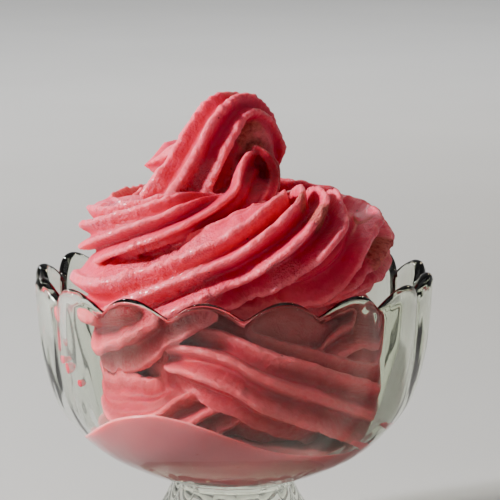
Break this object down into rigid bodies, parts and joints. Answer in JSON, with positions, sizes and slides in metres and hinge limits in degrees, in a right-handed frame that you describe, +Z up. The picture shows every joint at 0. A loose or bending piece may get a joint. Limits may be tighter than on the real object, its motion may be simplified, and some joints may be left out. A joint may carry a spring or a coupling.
{
  "type": "soft serve dessert in a glass dish",
  "caption": "Swirled strawberry soft serve with a folded peak, on a melted layer in a footed pressed-glass dish with a scalloped rim.",
  "frame": {"origin": "middle of the foot's underside, on the table", "axes": "+Z up along the dish's axis, -Y towards the front that the picture shows, +X to the right"},
  "size_m": [0.1038, 0.1038, 0.1238],
  "materials": {
    "pressed_glass": "clear pressed glass, fire polished, faint grey-green in the thick parts",
    "strawberry_ice": "strawberry soft serve, soft satin with rough frosty crests, light passes a little way in",
    "melted_ice": "melted strawberry ice, smooth and wet against the glass"
  },
  "bodies": {
    "root": {"glass_dish": "pressed_glass", "melted_pool": "melted_ice", "soft_serve": "strawberry_ice"}
  },
  "joints": []
}
